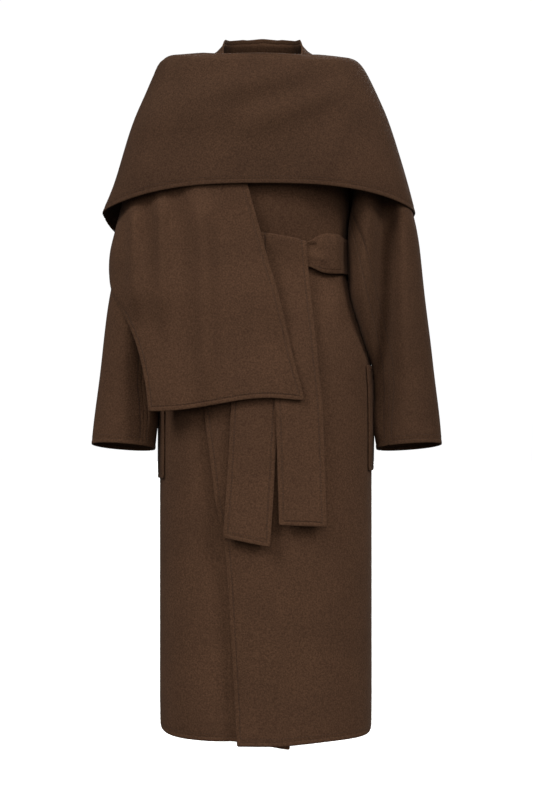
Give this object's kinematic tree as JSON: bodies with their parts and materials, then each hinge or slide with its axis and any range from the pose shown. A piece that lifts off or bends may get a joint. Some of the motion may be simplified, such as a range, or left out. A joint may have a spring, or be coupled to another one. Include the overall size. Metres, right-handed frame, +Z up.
{
  "type": "cape coat",
  "caption": "Long wrap coat in thick brown wool with a broad shoulder cape, a hanging scarf end, a tied self belt and side pockets, filled out as if worn.",
  "frame": {"origin": "middle of the neck at shoulder height, where the wearer carries the coat", "axes": "+Z up, the front faces -Y, +X towards the wearer's left"},
  "size_m": [0.6236, 0.3052, 1.263],
  "materials": {
    "wool": "double-faced wool, brushed and matt"
  },
  "bodies": {
    "root": {"front_over": "wool", "front_under": "wool", "back": "wool", "collar": "wool", "sleeve_left_upper": "wool", "sleeve_left_under": "wool", "sleeve_right_upper": "wool", "sleeve_right_under": "wool", "cape_front": "wool", "cape_back": "wool", "scarf_end": "wool", "belt_waist": "wool", "belt_end_over": "wool", "belt_end_under": "wool", "pocket_left": "wool", "pocket_right": "wool"}
  },
  "joints": []
}
